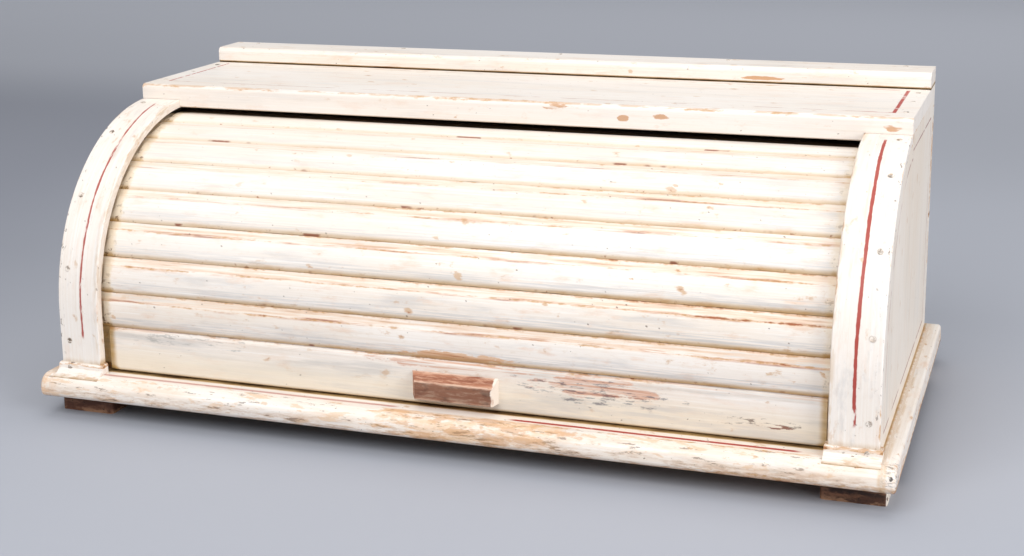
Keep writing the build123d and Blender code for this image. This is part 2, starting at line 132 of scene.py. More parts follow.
world = bpy.data.worlds.new("Studio")
world.use_nodes = True
background = world.node_tree.nodes["Background"]
background.inputs["Color"].default_value = GLOW
background.inputs["Strength"].default_value = GLOW_STRENGTH
bpy.context.scene.world = world
bpy.context.scene.view_settings.view_transform = "Standard"
print(len(LAMPS), "lamps")

# %% [markdown]
# ## Writing finishes as sums
# A finish is a tree of nodes. Dragging hundreds of them by hand is slow, and so is a line of
# code for every node. So a small class, Wire, stands for one socket, and Python's own signs on
# it add the Math nodes. Graph adds any other node, and works for geometry trees as well.

# %% Wires and graphs
class Wire:
    """One output socket of a tree. Python's signs on it add Math nodes."""

    def __init__(self, graph, socket):
        self.graph = graph
        self.socket = socket

    def __getitem__(self, name):
        return Wire(self.graph, self.socket.node.outputs[name])

    def math(self, operation, *values):
        return self.graph.node("ShaderNodeMath", {"operation": operation}, dict(enumerate(values)))

    def __add__(self, other):
        return self.math("ADD", self, other)

    def __sub__(self, other):
        return self.math("SUBTRACT", self, other)

    def __rsub__(self, other):
        return self.math("SUBTRACT", other, self)

    def __mul__(self, other):
        return self.math("MULTIPLY", self, other)

    def __truediv__(self, other):
        return self.math("DIVIDE", self, other)

    def __abs__(self):
        return self.math("ABSOLUTE", self)

    __radd__ = __add__
    __rmul__ = __mul__

    def least(self, other):
        return self.math("MINIMUM", self, other)

    def most(self, other):
        return self.math("MAXIMUM", self, other)

    def fade(self, start, end):
        """0 before start, 1 after end, smooth between them. Start may be the larger."""
        ends = {"Value": self, "From Min": start, "From Max": end}
        return self.graph.node("ShaderNodeMapRange", {"interpolation_type": "SMOOTHSTEP"}, ends)

    def between(self, low, high, soft):
        """1 from low to high, with soft edges outside."""
        return self.fade(low - soft, low) * self.fade(high + soft, high)


class Graph:
    """A tree of nodes being written."""

    def __init__(self, tree):
        self.tree = tree

    def node(self, kind, settings=None, sockets=None, out=0):
        made = self.tree.nodes.new(kind)
        for name, value in (settings or {}).items():
            setattr(made, name, value)
        for name, value in (sockets or {}).items():
            if isinstance(value, Wire):
                self.tree.links.new(value.socket, made.inputs[name])
            else:
                made.inputs[name].default_value = value
        return Wire(self, made.outputs[out]) if made.outputs else None

    def vector(self, x, y, z):
        return self.node("ShaderNodeCombineXYZ", {}, {"X": x, "Y": y, "Z": z})

    def split(self, vector):
        parts = self.node("ShaderNodeSeparateXYZ", {}, {0: vector})
        return parts["X"], parts["Y"], parts["Z"]


# %% Finishes
TOO_FAR = 9.0  # puts a spot out of sight
RELIEF_STRENGTH = 0.6


def linear(part):
    """The light that a screen gives for one part of a colour, from 0 to 1."""
    return part / 12.92 if part <= 0.04045 else ((part + 0.055) / 1.055) ** 2.4


def colour(code):
    """The linear values of a colour as it looks on a screen, #rrggbb."""
    return tuple(linear(int(code[i : i + 2], 16) / 255) for i in (1, 3, 5)) + (1.0,)


def once(make):
    """Let a finish keep what a helper made for it, so that its nodes are added only once."""

    def kept(finish):
        if make.__name__ not in finish.kept:
            finish.kept[make.__name__] = make(finish)
        return finish.kept[make.__name__]

    return kept


class Finish(Graph):
    """A material being mixed, with the place on the object as x, y and z in metres."""

    def __init__(self, name):
        self.kept = {}
        self.material = bpy.data.materials.new(name)
        self.material.use_nodes = True
        super().__init__(self.material.node_tree)
        self.shader = self.tree.nodes["Principled BSDF"]
        self.place = self.node("ShaderNodeTexCoord", out="Object")
        self.x, self.y, self.z = self.split(self.place)

    def noise(self, place, stretch, detail=2.0, rough=0.55):
        """Cloudy noise; stretch is clouds to the metre on each axis, the third like the second."""
        sockets = {0: place, 1: (*stretch, stretch[1])[:3]}
        scaled = self.node("ShaderNodeVectorMath", {"operation": "MULTIPLY"}, sockets)
        sockets = {"Vector": scaled, "Scale": 1.0, "Detail": detail, "Roughness": rough}
        return self.node("ShaderNodeTexNoise", {}, sockets)

    def spots(self, place, stretch, share, ragged):
        """Distance from the nearest of some scattered points, far from those outside the share."""
        along, across, depth = self.split(place)
        flat = self.vector(
            (along + (across - depth) * 0.5) * stretch[0], (across + depth) * stretch[1], 0.0
        )
        cells = self.node(
            "ShaderNodeTexVoronoi", {"voronoi_dimensions": "2D"}, {"Vector": flat, "Scale": 1.0}
        )
        chance = self.node("ShaderNodeSeparateColor", {}, {0: cells["Color"]})
        away = (cells["Distance"] + ragged) / (0.3 + chance["Green"])
        return away + chance["Red"].fade(share, share + 0.01) * TOO_FAR

    def mix(self, mask, under, over, blend="MIX"):
        settings = {"data_type": "RGBA", "blend_type": blend}
        return self.node("ShaderNodeMix", settings, {0: mask, 6: under, 7: over}, out=2)

    def layers(self, tint, coats):
        """Lay coats over a tint, each a mask and a colour."""
        for mask, code in coats:
            tint = self.mix(mask, tint, colour(code))
        return tint

    def done(self, tint, rough, height, depth):
        """Join the colour, roughness and relief to the shader; depth is the relief's in metres."""
        sockets = {"Height": height, "Distance": depth, "Strength": RELIEF_STRENGTH}
        bump = self.node("ShaderNodeBump", {}, sockets)
        for name, wire in (("Base Color", tint), ("Roughness", rough), ("Normal", bump)):
            self.tree.links.new(wire.socket, self.shader.inputs[name])
        print("finish", self.material.name, "-", len(self.tree.nodes), "nodes")
        return self.material


# %% Floor finish
def pale_floor(name):
    """Pale, with painted shade behind the box on the left and painted light far off."""
    finish = Finish(name)
    cloud = finish.noise(finish.place, (1.5, 1.5))
    # Painted shade behind the box on the left; painted light far off.
    dim = finish.x.fade(-0.25, -0.9) * finish.y.between(0.0, 1.0, 0.5)
    coats = [
        (cloud, "#ABAEB7"),
        (dim * 0.9, "#8B8E99"),
        (finish.y.fade(0.9, 2.6), "#D2D5DF"),
    ]
    tint = finish.layers(colour("#A6A9B2"), coats)
    return finish.done(tint, cloud * 0.1 + 0.6, cloud, depth=0.0002)


floor_mesh.materials.append(pale_floor("Pale_floor"))

# %% [markdown]
# ## Old paint
# The box has had coats of ivory paint by brush over an orange-red ground, and then a hundred
# years of hands and bread. A photograph pasted on would carry its light with it. So the paint
# is built up as it was in life: wood, ground, ivory, then wear that cuts back through them at
# the edges, grime in the corners, and stray spots. Each piece says only where its edges and
# corners are.

# %% Bare wood
PORE = "#3A2012"


def wood_figure(finish, grain):
    """Long soft grain; the first axis of the place given runs with the wood."""
    return finish.noise(grain, (7, 160), 4.0, 0.6)


def wood_tint(finish, grain, dark, light):
    """The colour of wood with fine dark pores, and its figure by itself."""
    figure = wood_figure(finish, grain)
    pores = finish.noise(grain, (30, 1400), 2.0, 0.5)
    coats = [(figure.fade(0.32, 0.68), light), (pores.fade(0.56, 0.7) * 0.55, PORE)]
    return finish.layers(colour(dark), coats), figure


# %% Paint over wood
IVORY, IVORY_WARM, IVORY_LINE, IVORY_BRIGHT = "#F2EAE2", "#ECE0D3", "#DCCBB8", "#F8F4F0"
BLUSH, GROUND, TAN = "#E2BFA3", "#A5613F", "#C49560"
SMUDGE, GRIME_AND_SHADE, GRIME_DARK, SPOT = "#B9B8B9", "#CDB07C", "#5A4028", "#C79A66"
WORN_WOOD = ("#8A5230", "#C79A66")


def old_paint(name, grain_of, edge_of, grime_and_shade_of, touches_of=None, dirt_of=None):
    """Ivory paint. Each of the last arguments is given the finish and answers with a wire."""
    finish = Finish(name)
    grain = grain_of(finish)
    cloud = finish.noise(grain, (5, 18), 3.0)
    streak = finish.noise(grain, (10, 700), 3.0, 0.6)
    patch = finish.noise(grain, (30, 120), 5.0, 0.65)
    flake = finish.noise(grain, (160, 320), 4.0, 0.65)
    stain = finish.noise(grain, (55, 110), 5.0, 0.7)
    smear = finish.noise(grain, (9, 75), 5.0, 0.65)
    dirt = dirt_of(finish) if dirt_of else cloud.fade(0.3, 0.7) * 0.4 + 0.3

    coats = [
        (cloud.fade(0.34, 0.68), IVORY_WARM),
        (streak.fade(0.5, 0.75) * 0.3, IVORY_LINE),
        (streak.fade(0.48, 0.3) * 0.5, IVORY_BRIGHT),
        (smear.fade(0.5, 0.7) * dirt * 0.6, SMUDGE),
        (patch.fade(0.52, 0.7) * dirt * 0.65, BLUSH),
        (flake.fade(0.55, 0.75) * dirt * 0.5, IVORY_LINE),
        (stain.fade(0.6, 0.7) * dirt * 0.7, SPOT),
    ]
    touches = touches_of(finish) if touches_of else []

    ragged = (flake - 0.5) * 0.3 + (patch - 0.5) * 0.2
    spot = finish.spots(grain, (26.0, 36.0), 0.5, ragged)
    speck = finish.spots(grain, (120.0, 150.0), 0.16, ragged).fade(0.07, 0.03)
    marks = [
        (spot.fade(0.085, 0.02) * (0.2 + dirt * 0.6), SPOT),
        (spot.fade(0.05, 0.015) * flake.fade(0.47, 0.56) * dirt, GROUND),
        (speck * (0.15 + dirt * 0.6), GRIME_DARK),
    ]
    tint = finish.layers(colour(IVORY), coats + touches + marks)

    worn = edge_of(finish) * (0.35 + cloud * 1.1) + (patch - 0.5) * 1.3
    worn = worn + (flake - 0.5) * 0.6 + (dirt - 0.5) * 0.15
    rub, bare = worn.fade(0.42, 0.62), worn.fade(0.68, 0.82)
    wood, _ = wood_tint(finish, grain, *WORN_WOOD)
    thin = finish.mix(flake.fade(0.4, 0.6), colour(BLUSH), colour(TAN))
    tint = finish.mix(rub * 0.75, tint, thin)
    tint = finish.mix(bare, tint, finish.mix(patch.fade(0.5, 0.62), wood, colour(GROUND)))

    # Grime in corners and joints; on the slats it also carries painted shade under each nose.
    soil_and_shade = grime_and_shade_of(finish) * (0.5 + patch)
    tint = finish.mix(soil_and_shade.fade(0.08, 0.75), tint, colour(GRIME_AND_SHADE), "MULTIPLY")
    tint = finish.mix(soil_and_shade.fade(0.7, 1.3), tint, colour(GRIME_DARK), "MULTIPLY")

    height = streak * 0.25 + flake * 0.15 - rub * 0.4 - bare * 0.5 - speck * 0.4
    rough = 0.42 + rub * 0.14 + bare * 0.18 + (streak - 0.5) * 0.15
    return finish.done(tint, rough, height, depth=0.0007)


# %% [markdown]
# ## Where the edges are
# Wear keeps to arrises and grime to inside corners. On a box the distance to the nearest edge
# is the middle one of the three distances to its faces. On the round parts it is measured about
# the roll top's centre line.

# %% Distances to edges
def box_edge(finish, node, reach):
    """1 on the edges of a node's box, 0 at reach metres from them."""
    low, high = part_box(node)
    near = [
        (place - low[axis]).least(high[axis] - place)
        for axis, place in enumerate((finish.x, finish.y, finish.z))
    ]
    middle = near[0].least(near[1]).most(near[0].most(near[1]).least(near[2]))
    return middle.fade(reach, 0.0)


def torn(finish, grain, middle, reach, places):
    """1 inside an ellipse with torn edges; places are the two wires it is measured along."""
    away = [(place - m) / r for place, m, r in zip(places, middle, reach)]
    ragged = (finish.noise(grain, (45, 160), 5.0, 0.65) - 0.5) * 2.6
    length = away[0].math("SQRT", away[0] * away[0] + away[1] * away[1])
    return (length + ragged).fade(1.0, 0.8)


def most_of(masks):
    """The largest of some masks at each place."""
    return functools.reduce(Wire.most, masks)


ARC_Y, ARC_Z = frame["joints"][0]["pos_m"][1:]
BAND_OUTER = ARC_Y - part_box("front_band_right")[0].y
BAND_INNER_X, HALF_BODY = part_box("front_band_right")[0].x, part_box("front_band_right")[1].x
BACK_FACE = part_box("back_board_lower")[0].y
BASE_LOW, BASE_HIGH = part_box("base_board")
TOP_LOW, TOP_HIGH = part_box("top_board")


@once
def round_front(finish):
    """Radius from the centre line, and length up the front, with the straight part below."""
    forward = ARC_Y - finish.y
    height = finish.z - ARC_Z
    raised = height.most(0.0)
    radius = forward.math("SQRT", forward * forward + raised * raised)
    angle = forward.math("ARCTAN2", raised, forward)
    return radius, angle * BAND_OUTER + height.least(0.0)


print("centre line at", round(ARC_Y, 4), round(ARC_Z, 4), "bands out to", round(BAND_OUTER, 4))

# %% Which way the grain runs
def with_grain_x(finish):
    """The place as it is, for wood that runs from side to side."""
    return finish.place


def with_grain_z(finish):
    """The place turned, for wood that stands upright."""
    return finish.vector(finish.z, finish.x, finish.y)


# %% [markdown]
# ## Base board
# The base sticks out all round, with a rounded nose along its front and back. Its front is the
# part that hands and arms rub, so it is worn to the wood in the middle, and a thin red line,
# drawn with a brush along the top, is rubbed away there too. The underside is dark with age,
# and the floor of the box was never painted.

# %% Base board finish
RED_LINE, BRUSHED_RED, CRACK = "#B23A30", "#A62C1A", "#2A211B"
NOSE_Y = BASE_LOW.y + 0.010  # where the flat top turns over into the nose
BASE_LINE_Y = -0.1475
BASE_LINE_KEPT = ((-0.27, -0.035), (0.058, 0.245))  # the two parts that aren't rubbed away
BASE_RUBBED = ((0.028, NOSE_Y - 0.004), (0.075, 0.009))  # middle and reach of the worn patch
RAIL_FOOT = (-0.1395, -0.1325)  # where the bottom rail comes down, in y
INDOORS = (-0.1315, -0.1285)  # where the paint ends inside, in y
SIDE_LEDGE = (0.3015, 0.3045)  # beside the right-hand side, in x
CHIPPED_X, CHIPPED_Y = (0.3015, 0.3075), (-0.138, -0.146)  # the chipped corner


@once
def with_base_grain(finish):
    """Along the board, and across it on its cut ends."""
    ends = abs(finish.x).fade(BASE_HIGH.x - 0.010, BASE_HIGH.x - 0.008)
    turned = finish.vector(finish.y, finish.x, finish.z)
    sockets = {0: ends, 4: finish.place, 5: turned}
    return finish.node("ShaderNodeMix", {"data_type": "VECTOR"}, sockets, out=1)


def base_edge(finish):
    flat = finish.z.fade(BASE_HIGH.z - 0.0016, BASE_HIGH.z - 0.0002)
    arris = abs(finish.y - NOSE_Y).fade(0.003, 0.0) * flat
    ends = abs(finish.x).fade(BASE_HIGH.x - 0.004, BASE_HIGH.x)
    under = finish.z.fade(BASE_LOW.z + 0.007, BASE_LOW.z + 0.001)
    under = under * (finish.x.fade(-0.3, 0.3) * 0.5 + 0.3)
    return arris * 0.4 + under * 0.7 + ends * 0.3


def base_grime(finish):
    flat = finish.z.fade(BASE_HIGH.z - 0.001, BASE_HIGH.z)
    under_rail = finish.y.between(*RAIL_FOOT, 0.003) * flat
    under_rail = under_rail * abs(finish.x).fade(0.272, 0.266)
    beside = abs(finish.x).fade(HALF_BODY + 0.0025, HALF_BODY) * flat
    beside = beside * finish.y.fade(-0.142, -0.138)
    below = finish.z.fade(BASE_LOW.z + 0.003, BASE_LOW.z)
    return under_rail * 0.5 + beside * 0.6 + below * 0.3


def base_touches(finish):
    grain = with_base_grain(finish)
    tear = finish.noise(grain, (40, 150), 5.0, 0.65)
    mottle = finish.noise(finish.place, (60, 330), 5.0, 0.7)
    broad = finish.noise(finish.place, (14, 60), 4.0, 0.6)
    nose = finish.y.fade(NOSE_Y + 0.003, NOSE_Y)
    shake = (finish.noise(finish.place, (8, 8)) - 0.5) * 0.003
    line = abs(finish.y - BASE_LINE_Y + shake).fade(0.0019, 0.0011)
    left, right = (finish.x.between(start, end, 0.008) for start, end in BASE_LINE_KEPT)
    line = line * left.most(right)
    low = finish.z.fade(BASE_LOW.z + 0.013, BASE_LOW.z + 0.004) * nose
    over_nose = finish.y - finish.z + 0.03
    rubbed = torn(finish, grain, *BASE_RUBBED, (finish.x, over_nose)) * nose
    corner = finish.x.fade(*CHIPPED_X) * finish.y.fade(*CHIPPED_Y)
    chip = finish.noise(finish.place, (45, 170), 5.0, 0.65)
    crumb = finish.noise(finish.place, (150, 150), 4.0, 0.65)
    beside = finish.x.between(*SIDE_LEDGE, 0.002)
    indoors = finish.y.fade(*INDOORS) * finish.y.fade(BACK_FACE, BACK_FACE - 0.001)
    indoors = indoors * abs(finish.x).fade(HALF_BODY, HALF_BODY - 0.001)
    figure = wood_figure(finish, grain)
    return [
        (nose * broad.fade(0.46, 0.66) * 0.25, "#E2C9AE"),
        (nose * chip.fade(0.56, 0.62) * 0.55, "#DDB68C"),
        (nose * mottle.fade(0.605, 0.64) * 0.7, "#7E6A5A"),
        (low * mottle.fade(0.44, 0.6) * 0.7, "#C4A488"),
        (low * mottle.fade(0.6, 0.68) * 0.75, "#6E5D50"),
        (finish.x.fade(-0.292, -0.31) * tear.fade(0.36, 0.6) * 0.7, "#DFB48C"),
        (beside * tear.fade(0.4, 0.56) * 0.5, "#CDA878"),
        (rubbed * chip.fade(0.44, 0.54) * 0.55, "#E6BE94"),
        (rubbed * tear.fade(0.5, 0.57) * 0.6, "#CE9C6E"),
        (rubbed * mottle.fade(0.55, 0.62) * 0.6, "#9C7A58"),
        (line * tear.fade(0.3, 0.42) * (finish.x.fade(-0.06, 0.06) * 0.4 + 0.6), BRUSHED_RED),
        (corner * abs(chip - 0.47).fade(0.012, 0.005) * 0.8, CRACK),
        (corner * crumb.fade(0.58, 0.61) * 0.9, CRACK),
        (finish.z.fade(BASE_LOW.z + 0.0012, BASE_LOW.z + 0.0004), "#4A3A2C"),
        (indoors, "#C9A06E"),
        (indoors * figure.fade(0.45, 0.65) * 0.7, "#A97C4E"),
    ]


def base_dirt(finish):
    """More dirt towards the right."""
    return finish.x.fade(-0.3, 0.3) * 0.45 + 0.4


base_paint = old_paint(
    "Paint_base", with_base_grain, base_edge, base_grime, base_touches, base_dirt
)

# %% [markdown]
# ## Top board and back rail
# These are long boards, painted with the grain. The top has a thin line all round its panel.
# The front edge is the one that hands hold, so the paint is gone along it in places.

# %% Top board and back rail finishes
ORANGE_WOOD = "#C58E5C"
TOP_LINE_RIGHT, TOP_LINE_LEFT = 0.2845, -0.2865  # the lines across the ends, in x
TOP_LINE_MIDDLE, TOP_LINE_APART = 0.052, 0.0485  # the long lines, in y: middle, and half apart
TOP_ARRIS = (0.2225, 0.2275)  # the upper part of the front edge, in z
BACK_RAIL_FOOT = (0.1065, 0.1095)  # where the back rail stands, in y
BACK_RAIL_RUBBED = ((0.174, 0.2318), (0.02, 0.0013))
TOP_RUBBED = (  # middle and reach of each bare patch on the front edge, in x and z
    ((0.044, 0.225), (0.011, 0.0035)),
    ((0.096, 0.2185), (0.004, 0.0025)),
    ((0.123, 0.2205), (0.007, 0.002)),
    ((0.286, 0.2205), (0.006, 0.0025)),
)


def top_edge(finish):
    front = finish.y.fade(TOP_LOW.y + 0.006, TOP_LOW.y + 0.002) * finish.z.fade(*TOP_ARRIS)
    return box_edge(finish, "top_board", 0.002) * 0.2 + front * 0.45


def top_grime(finish):
    under_rail = finish.y.fade(*BACK_RAIL_FOOT) * finish.z.fade(TOP_HIGH.z - 0.001, TOP_HIGH.z)
    return under_rail * 1.4 + finish.z.fade(0.2125, 0.2105) * 0.4


def top_touches(finish):
    shake = (finish.noise(finish.place, (9, 9)) - 0.5) * 0.002
    tear = finish.noise(finish.place, (60, 200), 4.0)
    flat = finish.z.fade(TOP_HIGH.z - 0.0008, TOP_HIGH.z - 0.0003)
    beside = finish.y.between(0.004, 0.1, 0.002)
    right_end = abs(finish.x - TOP_LINE_RIGHT + shake).fade(0.0017, 0.0009) * beside
    left_end = abs(finish.x - TOP_LINE_LEFT + shake).fade(0.0011, 0.0005) * beside
    inside = abs(finish.x).fade(0.286, 0.2845)
    from_line = abs(abs(finish.y - TOP_LINE_MIDDLE + shake) - TOP_LINE_APART)
    long_lines = from_line.fade(0.0011, 0.0004) * inside
    front = finish.y.fade(TOP_LOW.y + 0.004, TOP_LOW.y + 0.002)
    places = (finish.x, finish.z)
    rubbed = most_of(torn(finish, finish.place, *patch, places) for patch in TOP_RUBBED)
    return [
        (0.3, IVORY),
        (rubbed * front * tear.fade(0.4, 0.52) * 0.8, ORANGE_WOOD),
        (finish.z.fade(0.2262, 0.2272) * front * tear.fade(0.42, 0.54) * 0.6, "#C9A27C"),
        (finish.y.fade(0.1075, 0.109) * flat * tear.fade(0.48, 0.54) * 0.9, "#3A2A1C"),
        (right_end * flat * tear.fade(0.3, 0.42), RED_LINE),
        (left_end * flat * tear.fade(0.36, 0.5), RED_LINE),
        (long_lines * flat * tear.fade(0.4, 0.56) * 0.7, "#A87458"),
        (long_lines * flat * finish.x.fade(0.258, 0.27) * tear.fade(0.44, 0.5) * 0.9, RED_LINE),
    ]


def back_rail_edge(finish):
    return box_edge(finish, "back_rail", 0.003) * 0.4


def back_rail_grime(finish):
    return finish.z.fade(0.2305, 0.228) * 1.1


def back_rail_touches(finish):
    front = finish.y.fade(0.113, 0.111)
    rubbed = torn(finish, finish.place, *BACK_RAIL_RUBBED, (finish.x, finish.z))
    return [(rubbed * front * 0.85, ORANGE_WOOD)]


top_paint = old_paint("Paint_top", with_grain_x, top_edge, top_grime, top_touches)
back_rail_paint = old_paint(
    "Paint_back_rail", with_grain_x, back_rail_edge, back_rail_grime, back_rail_touches
)

# %% [markdown]
# ## Front bands
# Each band is a thin strip bent over the side's curved edge, with a brushed red line down the
# middle: bold on the right, thinner on the left. Their grain follows the bend, so the brush
# marks use the length up the front and not the height.

# %% Front band finish
NAIL_X, NAIL_HEAD = 0.2925, 0.0014
NAIL_ANGLES, LOW_NAIL_Z = (14.0, 37.0, 62.0, 82.0), 0.056
NAIL_LENGTHS = [math.radians(a) * BAND_OUTER for a in NAIL_ANGLES] + [LOW_NAIL_Z - ARC_Z]
BAND_LINES = ((0.2832, 0.0014, -0.021), (-0.2808, 0.0010, -0.015))  # x, half width, lower end
BAND_LINE_TOP, BAND_LINE_SOFT = 0.197, 0.0005


@once
def with_bend(finish):
    radius, length = round_front(finish)
    return finish.vector(length, finish.x, radius)


def band_edge(finish):
    radius, _ = round_front(finish)
    beside = (abs(finish.x) - BAND_INNER_X).least(HALF_BODY - abs(finish.x))
    return beside.most(BAND_OUTER - radius).fade(0.0025, 0.0) * 0.5


def band_grime(finish):
    _, length = round_front(finish)
    inner = abs(finish.x).fade(BAND_INNER_X + 0.0012, BAND_INNER_X)
    foot = length.fade(-0.031, -0.037)
    return inner * 0.2 + foot * 0.35


def nail_marks(finish):
    """Cracked, browned paint round the rims of the nail heads."""
    _, length = round_front(finish)
    aside = abs(finish.x) - NAIL_X
    rings = []
    for nail_length in NAIL_LENGTHS:
        along = length - nail_length
        away = aside.math("SQRT", aside * aside + along * along)
        rings.append(abs(away - NAIL_HEAD).fade(0.0014, 0.0002))
    return most_of(rings)


def band_touches(finish):
    _, length = round_front(finish)
    grain = with_bend(finish)
    shake = (finish.noise(grain, (10, 10)) - 0.5) * 0.0035
    ripple = (finish.noise(grain, (160, 160)) - 0.5) * 0.0012
    tear = finish.noise(grain, (60, 260), 4.0)
    nick = finish.noise(grain, (150, 300), 4.0, 0.65)
    rubbed = finish.noise(grain, (26, 60), 5.0, 0.65)
    lines = []
    for x, half, low_end in BAND_LINES:
        across = (abs(finish.x - x + shake) + ripple).fade(half, half - BAND_LINE_SOFT)
        lines.append(across * length.between(low_end, BAND_LINE_TOP, 0.004))
    bold, thin = lines
    outer = abs(finish.x).fade(0.2945, 0.2985)
    inner = abs(finish.x).fade(BAND_INNER_X + 0.0045, BAND_INNER_X + 0.001)
    return [
        (rubbed.fade(0.56, 0.7) * 0.3, SMUDGE),
        (bold * tear.fade(0.26, 0.36) * 0.95, BRUSHED_RED),
        (thin * tear.fade(0.32, 0.44) * 0.9, BRUSHED_RED),
        (nail_marks(finish) * nick.fade(0.44, 0.56) * 0.7, "#8A7664"),
        (inner * tear.fade(0.48, 0.62) * 0.4, "#CBA97E"),
        (outer * nick.fade(0.58, 0.65) * 0.8, "#6B5A4C"),
    ]


band_paint = old_paint("Paint_bands", with_bend, band_edge, band_grime, band_touches)

# %% [markdown]
# ## Plinth blocks, side panels and back
# Plain painted boards, each with its own grain. The sides carry a thin dark red line a little
# inside their outline.

# %% Plinth, side and back finishes
PLINTH_LOW, PLINTH_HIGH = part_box("plinth_block_right")
PLINTH_X = 0.2835
SIDE_ROUND = 0.134  # radius of a side panel's curved edge
SIDE_LINE_IN = 0.012  # how far its line is inside its outline


def plinth_edge(finish):
    lip = abs(finish.z - PLINTH_HIGH.z + 0.0019).fade(0.0018, 0.0)
    return lip * 0.7 + abs(abs(finish.x) - PLINTH_X).fade(0.014, 0.0185) * 0.35


def plinth_grime(finish):
    foot = finish.z.fade(PLINTH_LOW.z + 0.0028, PLINTH_LOW.z)
    return foot * 0.5 + finish.z.fade(PLINTH_HIGH.z - 0.001, PLINTH_HIGH.z) * 0.4


def plinth_touches(finish):
    tear = finish.noise(finish.place, (70, 200), 5.0, 0.65)
    chip = finish.noise(finish.place, (170, 300), 4.0, 0.65)
    top = finish.z.fade(PLINTH_HIGH.z - 0.0022, PLINTH_HIGH.z - 0.0008)
    foot = finish.z.fade(PLINTH_LOW.z + 0.0035, PLINTH_LOW.z + 0.001)
    return [
        (tear.fade(0.5, 0.66) * 0.6, "#E0C4A6"),
        (top * tear.fade(0.46, 0.58) * 0.8, "#C29468"),
        (foot * tear.fade(0.44, 0.56) * 0.6, "#C2A078"),
        (chip.fade(0.63, 0.68) * 0.85, "#5E4636"),
    ]


def side_outline(finish):
    """Distance in from the outline of a side panel, whose round part ends at the centre line."""
    radius, _ = round_front(finish)
    low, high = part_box("side_panel_right")
    front = SIDE_ROUND - radius + (finish.y - ARC_Y).most(0.0) * TOO_FAR
    return front.least(high.z - finish.z).least(high.y - finish.y).least(finish.z - low.z)


def side_edge(finish):
    return side_outline(finish).fade(0.003, 0.0) * 0.5


def side_grime(finish):
    return finish.z.fade(BASE_HIGH.z + 0.004, BASE_HIGH.z) * 0.8


def side_touches(finish):
    gone = finish.noise(finish.place, (40, 40), 4.0)
    line = abs(side_outline(finish) - SIDE_LINE_IN).fade(0.0010, 0.0004)
    return [(0.25, "#E4D2B8"), (line * gone.fade(0.36, 0.5) * 0.85, "#8E3A2C")]


def back_edge(finish):
    joint = abs(finish.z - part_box("back_board_lower")[1].z).fade(0.003, 0.0)
    side = abs(finish.x).fade(HALF_BODY - 0.003, HALF_BODY)
    return (joint + side) * 0.5


plinth_paint = old_paint("Paint_plinths", with_grain_x, plinth_edge, plinth_grime, plinth_touches)
side_paint = old_paint("Paint_sides", with_grain_z, side_edge, side_grime, side_touches)
back_paint = old_paint("Paint_back", with_grain_x, back_edge, side_grime)

# %% [markdown]
# ## Slats
# The curtain is one slat nine times over, each turned a little further about the centre line.
# Nine meshes could be copied by hand. A geometry tree says it once: a row of points on the
# centre line, one slat set on each, turned by its number. The slat itself is swept from its
# profile, a flat back, a rounded nose below and a bevel above. Its ends run a little way in
# under the bands.

# %% One slat
PITCH, FIRST_JOINT, SLAT_COUNT = math.radians(11.75), math.radians(-4.6), 9
SLAT_BACK, SLAT_HALF, SLAT_CROWN = 0.1225, 0.01252, 0.0080
SLAT_FOOT = 0.01307  # half its width where old paint bridges the joints
NOSE_STEPS, NOSE_RUN, NOSE_LOW, NOSE_RISE = 8, 0.0072, 0.0053, 0.0022
FACE_STEPS, FACE_START, FACE_RUN, FACE_LOW, FACE_RISE = 6, -0.0058, 0.0122, 0.0075, 0.0005
BEVEL = [(0.0069, 0.0073), (0.0082, 0.0067), (SLAT_FOOT, 0.0057)]
FACE_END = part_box("canvas_backing")[1].x
SLAT_END = BAND_INNER_X + 0.004  # the faces run a little way in under the bands
TONGUE_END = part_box("slat_1")[1].x
TONGUE, TONGUE_LAP = 0.0045, 0.001  # its thickness, and how far it goes into the slat
END_ROUND = {-1: 0.0040, 1: 0.0028}  # how far in from each end a slat's face is rounded over
END_DROP = 0.0013  # and how much lower it is there
END_STEPS, HALF_STEPS = 8, 16
SHARP = math.radians(50)


def slat_profile():
    """Points round a slat as (up the curtain, out from its back), from its nose to its bevel."""
    runs = [i / NOSE_STEPS for i in range(NOSE_STEPS + 1)]
    nose = [(-SLAT_FOOT + NOSE_RUN * r, NOSE_LOW + NOSE_RISE * r * (2 - r)) for r in runs]
    face = []
    for i in range(1, FACE_STEPS + 1):
        swell = FACE_RISE * math.sin(math.pi * i / FACE_STEPS)
        face.append((FACE_START + FACE_RUN * i / FACE_STEPS, FACE_LOW + swell))
    return nose + face + BEVEL + [(SLAT_HALF, 0.0), (-SLAT_HALF, 0.0)]


def end_height(x):
    """How high the rounded end lets the face stand at a place along the slat."""
    share = min((SLAT_END - abs(x)) / END_ROUND[1 if x > 0 else -1], 1.0)
    return SLAT_CROWN - END_DROP * (0.5 + 0.5 * math.cos(math.pi * share))


